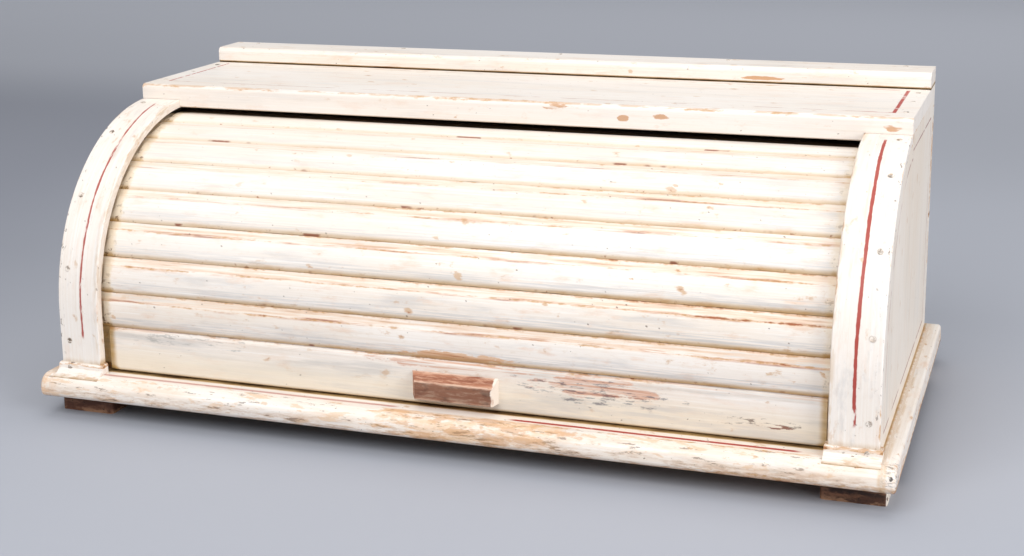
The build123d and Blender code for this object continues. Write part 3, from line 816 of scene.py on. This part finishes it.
def sweep_slat():
    """One slat at the height of the centre line, with a tongue at each end."""
    bm = bmesh.new()
    profile = slat_profile()
    rounds = [
        hand * (SLAT_END - END_ROUND[hand] * i / END_STEPS)
        for hand in (-1, 1)
        for i in range(END_STEPS + 1)
    ]
    inner = [(SLAT_END - END_ROUND[-1]) * (i / HALF_STEPS - 1) for i in range(1, 2 * HALF_STEPS)]
    rings = []
    for x in sorted(rounds + inner):
        top = end_height(x)
        rings.append([bm.verts.new((x, -SLAT_BACK - min(out, top), up)) for up, out in profile])
    for near, far in zip(rings, rings[1:]):
        for i in range(len(profile)):
            j = (i + 1) % len(profile)
            bm.faces.new((near[i], near[j], far[j], far[i]))
    bm.faces.new(rings[0])
    bm.faces.new(list(reversed(rings[-1])))
    size = Vector((TONGUE_END - SLAT_END + TONGUE_LAP, TONGUE, 2 * SLAT_HALF))
    aside = (SLAT_END + TONGUE_END - TONGUE_LAP) / 2
    for hand in (-1, 1):
        made = bmesh.ops.create_cube(bm, size=1.0)
        middle = Vector((hand * aside, -SLAT_BACK - TONGUE / 2, 0.0))
        for vert in made["verts"]:
            vert.co = middle + Vector(a * b for a, b in zip(vert.co, size))
    bmesh.ops.recalc_face_normals(bm, faces=bm.faces)
    mesh = bpy.data.meshes.new("One_slat")
    bm.to_mesh(mesh)
    bm.free()
    mesh.polygons.foreach_set("use_smooth", [True] * len(mesh.polygons))
    mesh.set_sharp_from_angle(angle=SHARP)
    return mesh


slat_mesh = sweep_slat()
print("one slat:", len(slat_mesh.polygons), "faces")

# %% [markdown]
# ## Paint on the slats
# Each slat wears in the same places. The bevel's edge is rubbed through to a broken red-brown
# line, the nose is tinted tan, partly with grime and partly with painted shade, and the joint
# below it is dark. Behind the top's lip the slats carry a painted shadow. Lower slats are
# handled more, so they are greyer. Turning the place into a slat number and a height on the
# slat lets one finish paint all nine, each with its own chance.

# %% Where things are on a slat
ARRIS = 0.755  # share of the slat's width where its face meets the bevel


@once
def on_curtain(finish):
    """Slat number from 0 at the rail, and the share of the slat's width from its lower joint."""
    forward = ARC_Y - finish.y
    angle = forward.math("ARCTAN2", finish.z - ARC_Z, forward)
    count = (angle - FIRST_JOINT) / PITCH
    return count.math("FLOOR", count), count.math("FRACT", count)


@once
def with_slat(finish):
    """The place on a slat, moved for each number so that no two slats have the same grain."""
    number, share = on_curtain(finish)
    return finish.vector(finish.x + number * 0.737, share * 0.025 + number * 0.31, number * 0.1)


@once
def slat_dirt(finish):
    """More dirt on the lower slats, and towards the right."""
    number, _ = on_curtain(finish)
    return number.fade(8.0, 0.0) * 0.5 + finish.x * 0.6 + 0.3


@once
def slat_arris(finish):
    """Share of a slat's width from its worn arris, which wanders a little."""
    _, share = on_curtain(finish)
    wander = finish.noise(with_slat(finish), (7, 7), 3.0) - 0.5
    return abs(share - ARRIS + wander * 0.09)


@once
def slat_joint(finish):
    """1 in the joints between slats."""
    _, share = on_curtain(finish)
    return share.fade(0.028, 0.0).most(share.fade(0.98, 1.0))


@once
def slat_end(finish):
    """1 at a slat's rounded ends; the left end is the dirtier one."""
    wander = (finish.noise(with_slat(finish), (120, 120), 4.0, 0.65) - 0.5) * 0.012
    reach = (abs(finish.x) + wander).fade(FACE_END - 0.0055, FACE_END - 0.001)
    return reach * (finish.x.fade(0.1, -0.1) * 0.3 + 0.5)


# %% Slat finish
# The dark brown behind the top's lip is a painted shadow on the slats.
LIP_SHADOW_FRONT, LIP_SHADOW_SLANT = -0.0175, 0.0085  # where the dark begins at the right, in y, and its slant
BY_PULL = ((0.006, 0.1), (0.042, 0.16))  # middle and reach, in x and share of the lowest slat


def slat_edge(finish):
    _, share = on_curtain(finish)
    edges = slat_arris(finish).fade(0.07, 0.0) * 0.5 + share.fade(0.88, 1.0) * 0.5
    return edges * (0.5 + slat_dirt(finish) * 0.8)


def slat_grime_and_shade(finish):
    _, share = on_curtain(finish)
    # Tan towards each slat's nose: partly grime, partly painted shade.
    low = share.fade(0.23, 0.02) * (0.12 + slat_dirt(finish) * 0.45)
    return low + slat_end(finish) * share.fade(0.22, 0.0) * 0.35


def painted_lip_shadow(finish):
    """Painted shadow, 1 on the slats behind the top's lip, from further back at the left."""
    limit = finish.x.fade(0.27, -0.28) * LIP_SHADOW_SLANT + LIP_SHADOW_FRONT
    return (finish.y - limit).fade(-0.0008, 0.0008)


def slat_touches(finish):
    number, share = on_curtain(finish)
    grain, dirt = with_slat(finish), slat_dirt(finish)
    run = finish.noise(grain, (14, 40), 5.0, 0.65)
    strand = finish.noise(grain, (16, 420), 5.0, 0.65)
    scar = finish.noise(grain, (24, 24), 3.0, 0.6)
    fleck = finish.noise(grain, (200, 260), 4.0, 0.65)
    hair = finish.noise(grain, (22, 900), 3.0)
    line = slat_arris(finish).fade(0.075, 0.02)
    grey = share.between(0.16, 0.28, 0.08) * hair.fade(0.38, 0.62)
    bevel = share.fade(0.72, 0.78)
    by_pull = torn(finish, grain, *BY_PULL, (finish.x, share)) * number.fade(0.6, 0.4)
    return [
        (share.fade(0.68, 0.82) * strand.fade(0.3, 0.58) * (0.2 + dirt * 0.45), "#EFD6BC"),
        (grey * dirt * 0.6, SMUDGE),
        (bevel * strand.fade(0.42, 0.62) * dirt * 0.8, BLUSH),
        (bevel * strand.fade(0.58, 0.66) * dirt * 0.7, "#B98A66"),
        (line * strand.fade(0.46, 0.56) * run.fade(0.4, 0.54) * (0.1 + dirt * 0.6), "#BC7F5C"),
        (line * strand.fade(0.54, 0.6) * run.fade(0.5, 0.58) * (0.15 + dirt * 0.6), "#84422E"),
        (by_pull * 0.8, "#E2B68C"),
        (by_pull * strand.fade(0.44, 0.58) * 0.75, "#C58A5C"),
        (by_pull * strand.fade(0.56, 0.62) * 0.7, "#8A5634"),
        # Gold on the lower nose: partly grime, partly painted shade.
        (share.fade(0.15, 0.02) * (0.2 + dirt * 0.4), "#DDBD8C"),
        (slat_end(finish) * 0.8, "#DCC6A2"),
        (slat_end(finish) * fleck.fade(0.56, 0.62) * share.fade(0.75, 0.1), "#6A4C32"),
        (slat_joint(finish) * (0.15 + dirt * 0.35), "#B8925E"),
        (share.fade(0.12, 0.03) * fleck.fade(0.62, 0.67) * 0.8, "#A2643A"),
        (slat_joint(finish) * run.fade(0.53, 0.6) * (0.3 + dirt * 0.7), GRIME_DARK),
        (share.fade(0.085, 0.05) * scar.fade(0.62, 0.66) * 0.85, "#8E4A2E"),
        # Painted shadow behind the top's lip.
        (painted_lip_shadow(finish), "#33251A"),
    ]


slat_paint = old_paint("Paint_slats", with_slat, slat_edge, slat_grime_and_shade, slat_touches, slat_dirt)

# %% Nine slats from one
UNEVEN, UNEVEN_SEED = 0.0003, 7  # how deep a slat may have settled

slat_tree = bpy.data.node_groups.new("Curtain_of_slats", "GeometryNodeTree")
for way, socket_name, kind in (
    ("INPUT", "Slat", "Geometry"),
    ("INPUT", "Count", "Int"),
    ("INPUT", "Pitch", "Float"),
    ("INPUT", "First joint", "Float"),
    ("INPUT", "Centre line", "Vector"),
    ("INPUT", "Unevenness", "Float"),
    ("INPUT", "Paint", "Material"),
    ("OUTPUT", "Curtain", "Geometry"),
):
    slat_tree.interface.new_socket(socket_name, in_out=way, socket_type="NodeSocket" + kind)
slat_graph = Graph(slat_tree)
given = slat_graph.node("NodeGroupInput", out="Slat")
points = slat_graph.node(
    "GeometryNodeMeshLine",
    {},
    {"Count": given["Count"], "Start Location": given["Centre line"], "Offset": (0, 0, 0)},
)
slat_number = slat_graph.node("GeometryNodeInputIndex")
turn = given["First joint"] + (slat_number + 0.5) * given["Pitch"]
slats = slat_graph.node(
    "GeometryNodeInstanceOnPoints",
    {},
    {"Points": points, "Instance": given, "Rotation": slat_graph.vector(turn * -1.0, 0.0, 0.0)},
)
sunk = slat_graph.node(
    "FunctionNodeRandomValue",
    {},
    {2: 0.0, 3: given["Unevenness"], "Seed": UNEVEN_SEED},
    out=1,
)
settled = slat_graph.node(
    "GeometryNodeTranslateInstances",
    {},
    {"Instances": slats, "Translation": slat_graph.vector(0.0, sunk, 0.0)},
)
realized = slat_graph.node("GeometryNodeRealizeInstances", {}, {"Geometry": settled})
painted = slat_graph.node(
    "GeometryNodeSetMaterial", {}, {"Geometry": realized, "Material": given["Paint"]}
)
slat_graph.node("NodeGroupOutput", {}, {"Curtain": painted})
print("curtain tree:", len(slat_tree.nodes), "nodes")


# %% Grow the curtain
def grown(name, mesh, tree, inputs):
    """The plain mesh that a geometry tree makes from a mesh, as an object of its own."""
    seed = placed(name + "_seed", mesh)
    modifier = seed.modifiers.new("Tree", "NODES")
    modifier.node_group = tree
    for item in tree.interface.items_tree:
        if item.in_out == "INPUT" and item.name in inputs:
            modifier[item.identifier] = inputs[item.name]
    depsgraph = bpy.context.evaluated_depsgraph_get()
    made = bpy.data.meshes.new_from_object(seed.evaluated_get(depsgraph), depsgraph=depsgraph)
    made.name = name
    bpy.data.objects.remove(seed)
    piece = placed(name, made)
    print(name, len(made.polygons), "faces")
    return piece


curtain_inputs = {
    "Count": SLAT_COUNT,
    "Pitch": PITCH,
    "First joint": FIRST_JOINT,
    "Centre line": (0.0, ARC_Y, ARC_Z),
    "Unevenness": UNEVEN,
    "Paint": slat_paint,
}
slats_piece = grown("Slats", slat_mesh, slat_tree, curtain_inputs)
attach(slats_piece, "curtain")
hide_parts(*[f"slat_{n + 1}" for n in range(SLAT_COUNT)])

# %% [markdown]
# ## Bottom rail
# The rail is the taller slat that carries the pull. Fingers have worn it to pinkish wood over
# the pull and to the right of it, and its lower half is yellowed.

# %% Bottom rail finish
RAIL_LOW, RAIL_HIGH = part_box("bottom_rail")
RAIL_WORN = (  # middle and reach of each worn patch, in x and z
    ((0.11, 0.0575), (0.045, 0.0075)),
    ((0.012, 0.0625), (0.06, 0.004)),
    ((0.112, 0.0535), (0.055, 0.010)),
    ((-0.2, 0.060), (0.05, 0.005)),
    ((0.217, 0.045), (0.035, 0.004)),
    ((0.232, 0.0425), (0.012, 0.002)),
)


def bottom_rail_edge(finish):
    return finish.z.fade(RAIL_HIGH.z - 0.005, RAIL_HIGH.z) * 0.5


def bottom_rail_grime(finish):
    end = abs(finish.x).fade(FACE_END - 0.008, FACE_END - 0.001)
    return finish.z.fade(RAIL_LOW.z + 0.004, RAIL_LOW.z) * 0.5 + end * 0.65


def bottom_rail_touches(finish):
    hair = finish.noise(finish.place, (16, 700), 4.0, 0.6)
    smudge = finish.noise(finish.place, (9, 70, 90), 5.0, 0.65)
    fleck = finish.noise(finish.place, (90, 420), 5.0, 0.7)
    places = (finish.x, finish.z)
    by_pull, over_pull, round_patch, far_left, low_right, nick = (
        torn(finish, finish.place, *patch, places) for patch in RAIL_WORN
    )
    upper = finish.z.fade(RAIL_HIGH.z - 0.006, RAIL_HIGH.z - 0.001)
    return [
        (finish.z.fade(0.060, 0.040) * 0.6, "#E8DBC2"),
        (smudge.fade(0.47, 0.68) * 0.6, "#C3BFBA"),
        (upper * hair.fade(0.46, 0.62) * 0.6, "#D0A58A"),
        (by_pull * hair.fade(0.36, 0.56) * 0.9, "#D6A68C"),
        (over_pull * hair.fade(0.42, 0.58) * 0.8, "#CF9A7E"),
        (far_left * fleck.fade(0.52, 0.64) * 0.45, "#85837F"),
        (round_patch * fleck.fade(0.52, 0.63) * 0.7, "#55555E"),
        (by_pull * hair.fade(0.56, 0.66) * 0.7, "#8E5A48"),
        (low_right * fleck.fade(0.54, 0.62) * 0.8, "#5E4638"),
        (nick * fleck.fade(0.5, 0.58) * 0.6, "#8A4A32"),
    ]


bottom_rail_paint = old_paint(
    "Paint_bottom_rail", with_grain_x, bottom_rail_edge, bottom_rail_grime, bottom_rail_touches
)

# %% [markdown]
# ## Pull, feet and inner boards
# The pull is a worn red-brown block, painted over only at its right end. The feet are dark,
# with paint left on the outer end of the right ones. The boards inside the box were never
# painted.

# %% Wood finishes
PINE = ("#A9794A", "#D3A873")


def bare_wood(name, dark, light, grain_of, shade_of=None):
    finish = Finish(name)
    tint, figure = wood_tint(finish, grain_of(finish), dark, light)
    tint = finish.layers(tint, shade_of(finish) if shade_of else [])
    return finish.done(tint, 0.6 + figure * 0.25, figure, depth=0.0004)


def pull_shade(finish):
    low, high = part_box("pull_block")
    scuff = finish.noise(finish.place, (90, 420), 5.0, 0.65)
    cloud = finish.noise(finish.place, (70, 120), 4.0)
    face = finish.y.fade(low.y + 0.0016, low.y + 0.0003)
    front_arris = abs(finish.y - low.y - 0.0012).fade(0.0014, 0.0)
    arris = box_edge(finish, "pull_block", 0.0022).most(front_arris)
    end = (finish.x + (cloud - 0.5) * 0.006).fade(high.x - 0.0026, high.x - 0.0016)
    return [
        (face * 0.65, "#7C5540"),
        (face * scuff.fade(0.48, 0.62) * 0.55, "#A88C76"),
        (face * cloud.fade(0.5, 0.64) * 0.6, "#4A3126"),
        ((1 - face) * scuff.fade(0.46, 0.62) * 0.6, "#D3A488"),
        (arris * scuff.fade(0.36, 0.54) * 0.8, "#DDBBA4"),
        (end, IVORY_WARM),
    ]


def foot_shade(finish):
    _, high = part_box("foot_front_right")
    scuff = finish.noise(finish.place, (60, 60, 160), 5.0, 0.7)
    chip = finish.noise(finish.place, (180, 180), 4.0, 0.65)
    painted_end = finish.x.fade(high.x - 0.0012, high.x - 0.0004) * chip.fade(0.58, 0.54)
    rim = finish.z.fade(high.z - 0.003, high.z - 0.001).most(finish.z.fade(0.004, 0.001))
    return [
        (finish.x.fade(0.0, -0.1) * 0.5, "#6E3E2A"),
        (scuff.fade(0.46, 0.62) * 0.6, "#96694E"),
        (rim * scuff.fade(0.4, 0.55) * 0.6, "#B58A6A"),
        (chip.fade(0.58, 0.66) * 0.8, "#20120C"),
        (painted_end, IVORY_WARM),
    ]


pull_wood = bare_wood("Wood_pull", "#844C36", "#BA8062", with_grain_x, pull_shade)
foot_wood = bare_wood("Wood_feet", "#2E1A12", "#5E3A28", with_grain_x, foot_shade)
pine_flat = bare_wood("Wood_inner_back", *PINE, with_grain_x)
pine_up = bare_wood("Wood_cheeks", *PINE, with_grain_z)

# %% [markdown]
# ## Steel
# Screw heads are dull old steel with a little rust. The nails were painted over, and the paint
# has partly come off their heads.

# %% Steel finishes
def old_steel(name):
    finish = Finish(name)
    rust = finish.noise(finish.place, (400, 400), 4.0)
    tint = finish.mix(rust.fade(0.45, 0.65), colour("#8A8378"), colour("#6B3F24"))
    finish.shader.inputs["Metallic"].default_value = 0.8
    return finish.done(tint, 0.4 + rust * 0.4, rust, depth=0.0002)


def nail_wear(finish):
    """A little wear and grime all over, because a nail head is too small to have its own edges."""
    return finish.noise(finish.place, (900, 900), 2.0) * 0.3


def nail_touches(finish):
    """Dull metal and rust where the paint has come off."""
    rust = finish.noise(finish.place, (330, 330), 4.0, 0.65)
    return [(rust.fade(0.4, 0.56) * 0.75, "#8C7B6A"), (rust.fade(0.54, 0.6) * 0.8, "#54412F")]


screw_steel = old_steel("Steel_screws")
nail_paint = old_paint("Paint_nails", with_grain_x, nail_wear, nail_wear, nail_touches)

# %% [markdown]
# ## Canvas
# A strip of canvas is glued to the backs of the slats and folds at each joint. Its weave is two
# sets of threads that pass over and under each other.

# %% Canvas piece
CANVAS_THICK, CANVAS_BEND = 0.0007, 0.003  # it leaves the rail's flat back this far from its top
CANVAS_HALF_STEPS = 12
THREADS = 2000.0  # to the metre


def canvas_line():
    """Points of the canvas's outer face in the YZ plane, from the rail up over the slats."""
    fold = SLAT_BACK / math.cos(PITCH / 2)
    rail_back = ARC_Y - SLAT_BACK
    start = [(rail_back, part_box("canvas_backing")[0].z), (rail_back, RAIL_HIGH.z - CANVAS_BEND)]
    turns = [FIRST_JOINT + n * PITCH for n in range(SLAT_COUNT + 1)]
    return start + [(ARC_Y - fold * math.cos(a), ARC_Z + fold * math.sin(a)) for a in turns]


def make_canvas():
    """The canvas as a thin solid with its flat measures as UVs, and its length along the folds."""
    line = canvas_line()
    columns = [FACE_END * (i / CANVAS_HALF_STEPS - 1) for i in range(2 * CANVAS_HALF_STEPS + 1)]
    length = [0.0]
    for a, b in zip(line, line[1:]):
        length.append(length[-1] + math.dist(a, b))
    bm = bmesh.new()
    layer = bm.loops.layers.uv.new("UVMap")
    rows = [[bm.verts.new((x, y, z)) for x in columns] for y, z in line]
    for r, (near, far) in enumerate(zip(rows, rows[1:])):
        for c in range(len(columns) - 1):
            face = bm.faces.new((near[c], far[c], far[c + 1], near[c + 1]))
            for loop, (i, j) in zip(face.loops, ((c, r), (c, r + 1), (c + 1, r + 1), (c + 1, r))):
                loop[layer].uv = (columns[i] + FACE_END, length[j])
    mesh = bpy.data.meshes.new("Canvas")
    bm.to_mesh(mesh)
    bm.free()
    piece = placed("Canvas", mesh)
    solid = piece.modifiers.new("Thickness", "SOLIDIFY")
    solid.thickness = CANVAS_THICK
    solid.offset = -1.0
    return piece, length[-1]


def woven(name):
    finish = Finish(name)
    cloth = finish.node("ShaderNodeUVMap", {"uv_map": "UVMap"})
    across, along, _ = finish.split(cloth)
    across, along = across * THREADS, along * THREADS
    weft = across.math("SINE", across * math.pi) * across.math("SINE", along * math.pi)
    stain = finish.noise(cloth, (14, 30, 1), 4.0)
    coats = [(stain.fade(0.35, 0.7), "#9C8766"), (weft.fade(0.0, -0.8) * 0.35, "#6E5C40")]
    tint = finish.layers(colour("#C8B899"), coats)
    return finish.done(tint, 0.85 + stain * 0.1, weft, depth=0.0003)


canvas_piece, canvas_length = make_canvas()
canvas_piece.data.materials.append(woven("Cotton_canvas"))
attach(canvas_piece, "curtain")
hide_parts("canvas_backing")
print("canvas", round(canvas_length, 4), "m long")

# %% [markdown]
# ## Dress the frame
# The other pieces keep their solids, whose shapes are right, and take their finishes here.

# %% Give each node its finish
FINISHES = {
    "base_board": base_paint,
    "top_board": top_paint,
    "back_rail": back_rail_paint,
    "back_board_lower": back_paint,
    "back_board_upper": back_paint,
    "inner_back": pine_flat,
    "bottom_rail": bottom_rail_paint,
    "pull_block": pull_wood,
}
for hand in ("left", "right"):
    FINISHES[f"front_band_{hand}"] = band_paint
    FINISHES[f"plinth_block_{hand}"] = plinth_paint
    FINISHES[f"side_panel_{hand}"] = side_paint
    FINISHES[f"guide_cheek_{hand}"] = pine_up
    for end in ("front", "rear"):
        FINISHES[f"foot_{end}_{hand}"] = foot_wood
for name in nodes:
    if name.endswith("_nails"):
        FINISHES[name] = nail_paint
    if name.endswith("_screws"):
        FINISHES[name] = screw_steel
for name, finish_material in FINISHES.items():
    mesh = nodes[name].data
    mesh.materials.clear()
    mesh.materials.append(finish_material)
print(len(FINISHES), "nodes dressed")
